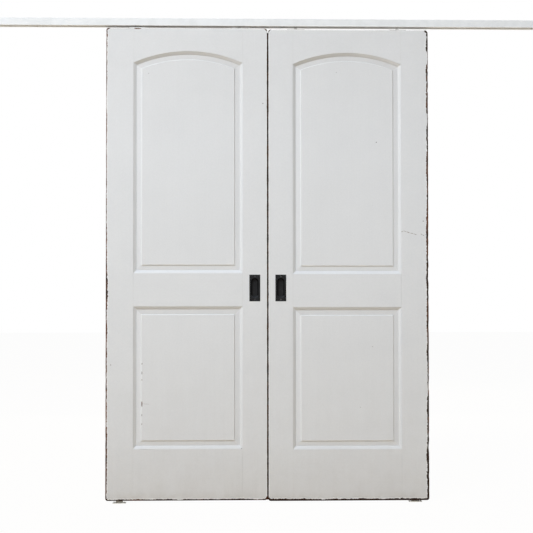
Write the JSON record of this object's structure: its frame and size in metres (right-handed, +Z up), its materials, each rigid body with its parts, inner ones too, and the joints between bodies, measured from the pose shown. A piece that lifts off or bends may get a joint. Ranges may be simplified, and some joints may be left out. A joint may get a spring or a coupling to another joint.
{
  "type": "pair of sliding closet doors",
  "caption": "Worn white sliding closet doors, arch-topped raised panels over square ones, black flush pulls, hung from an overhead track and parting in the middle.",
  "frame": {"origin": "floor level, under the middle of the pair, in the middle of the leaves' thickness", "axes": "+X to the right along the track as seen from the front, +Y through the leaves away from the viewer, +Z up"},
  "size_m": [2.66, 0.039, 2.086],
  "materials": {
    "painted_wood": "old white paint, dull, worn through to brown wood along the edges",
    "bare_wood": "raw",
    "black_pull": "satin black",
    "dark_screw": "satin black, rubbed",
    "zinc_steel": "zinc plated",
    "trolley_grey": "matt grey casting",
    "track_aluminium": "mill",
    "nylon": "matt",
    "bumper_rubber": "matt"
  },
  "bodies": {
    "frame": {"head_track": "track_aluminium", "left_end_stop": "trolley_grey", "right_end_stop": "trolley_grey", "centre_stops": "trolley_grey", "stop_bumpers": "bumper_rubber", "left_floor_guide": "nylon", "right_floor_guide": "nylon"},
    "left_leaf": {"left_outer_stile": "painted_wood", "left_meeting_stile": "painted_wood", "left_top_rail": "painted_wood", "left_lock_rail": "painted_wood", "left_bottom_rail": "painted_wood", "left_upper_panel": "painted_wood", "left_lower_panel": "painted_wood", "left_dowels": "bare_wood", "left_front_pull": "black_pull", "left_back_pull": "black_pull", "left_pull_screws": "dark_screw", "left_outer_hanger_plate": "zinc_steel", "left_meeting_hanger_plate": "zinc_steel", "left_plate_screws": "zinc_steel", "left_outer_hanger_bolt": "zinc_steel", "left_meeting_hanger_bolt": "zinc_steel", "left_lock_nuts": "zinc_steel", "left_outer_trolley": "trolley_grey", "left_meeting_trolley": "trolley_grey", "left_axles": "zinc_steel"},
    "left_wheels_1": {"left_wheel_pair_1": "nylon"},
    "left_wheels_2": {"left_wheel_pair_2": "nylon"},
    "left_wheels_3": {"left_wheel_pair_3": "nylon"},
    "left_wheels_4": {"left_wheel_pair_4": "nylon"},
    "right_leaf": {"right_outer_stile": "painted_wood", "right_meeting_stile": "painted_wood", "right_top_rail": "painted_wood", "right_lock_rail": "painted_wood", "right_bottom_rail": "painted_wood", "right_upper_panel": "painted_wood", "right_lower_panel": "painted_wood", "right_dowels": "bare_wood", "right_front_pull": "black_pull", "right_back_pull": "black_pull", "right_pull_screws": "dark_screw", "right_outer_hanger_plate": "zinc_steel", "right_meeting_hanger_plate": "zinc_steel", "right_plate_screws": "zinc_steel", "right_outer_hanger_bolt": "zinc_steel", "right_meeting_hanger_bolt": "zinc_steel", "right_lock_nuts": "zinc_steel", "right_outer_trolley": "trolley_grey", "right_meeting_trolley": "trolley_grey", "right_axles": "zinc_steel", "right_meeting_bead": "bare_wood"},
    "right_wheels_1": {"right_wheel_pair_1": "nylon"},
    "right_wheels_2": {"right_wheel_pair_2": "nylon"},
    "right_wheels_3": {"right_wheel_pair_3": "nylon"},
    "right_wheels_4": {"right_wheel_pair_4": "nylon"}
  },
  "joints": [
    {"name": "left_leaf_slide", "type": "slide", "parent": "frame", "child": "left_leaf", "axis": [-1, 0, 0], "range_m": [0, 0.62]},
    {"name": "left_wheels_1_spin", "type": "hinge", "parent": "left_leaf", "child": "left_wheels_1", "pos_m": [-0.585, 0, 2.069], "axis": [0, -1, 0], "continuous": true},
    {"name": "left_wheels_2_spin", "type": "hinge", "parent": "left_leaf", "child": "left_wheels_2", "pos_m": [-0.543, 0, 2.069], "axis": [0, -1, 0], "continuous": true},
    {"name": "left_wheels_3_spin", "type": "hinge", "parent": "left_leaf", "child": "left_wheels_3", "pos_m": [-0.143, 0, 2.069], "axis": [0, -1, 0], "continuous": true},
    {"name": "left_wheels_4_spin", "type": "hinge", "parent": "left_leaf", "child": "left_wheels_4", "pos_m": [-0.101, 0, 2.069], "axis": [0, -1, 0], "continuous": true},
    {"name": "right_leaf_slide", "type": "slide", "parent": "frame", "child": "right_leaf", "axis": [1, 0, 0], "range_m": [0, 0.62]},
    {"name": "right_wheels_1_spin", "type": "hinge", "parent": "right_leaf", "child": "right_wheels_1", "pos_m": [0.585, 0, 2.069], "axis": [0, 1, 0], "continuous": true},
    {"name": "right_wheels_2_spin", "type": "hinge", "parent": "right_leaf", "child": "right_wheels_2", "pos_m": [0.543, 0, 2.069], "axis": [0, 1, 0], "continuous": true},
    {"name": "right_wheels_3_spin", "type": "hinge", "parent": "right_leaf", "child": "right_wheels_3", "pos_m": [0.143, 0, 2.069], "axis": [0, 1, 0], "continuous": true},
    {"name": "right_wheels_4_spin", "type": "hinge", "parent": "right_leaf", "child": "right_wheels_4", "pos_m": [0.101, 0, 2.069], "axis": [0, 1, 0], "continuous": true}
  ],
  "couplings": [
    {"joint": "left_wheels_1_spin", "follows": "left_leaf_slide", "rad_per_m": 80},
    {"joint": "left_wheels_2_spin", "follows": "left_leaf_slide", "rad_per_m": 80},
    {"joint": "left_wheels_3_spin", "follows": "left_leaf_slide", "rad_per_m": 80},
    {"joint": "left_wheels_4_spin", "follows": "left_leaf_slide", "rad_per_m": 80},
    {"joint": "right_wheels_1_spin", "follows": "right_leaf_slide", "rad_per_m": 80},
    {"joint": "right_wheels_2_spin", "follows": "right_leaf_slide", "rad_per_m": 80},
    {"joint": "right_wheels_3_spin", "follows": "right_leaf_slide", "rad_per_m": 80},
    {"joint": "right_wheels_4_spin", "follows": "right_leaf_slide", "rad_per_m": 80}
  ]
}
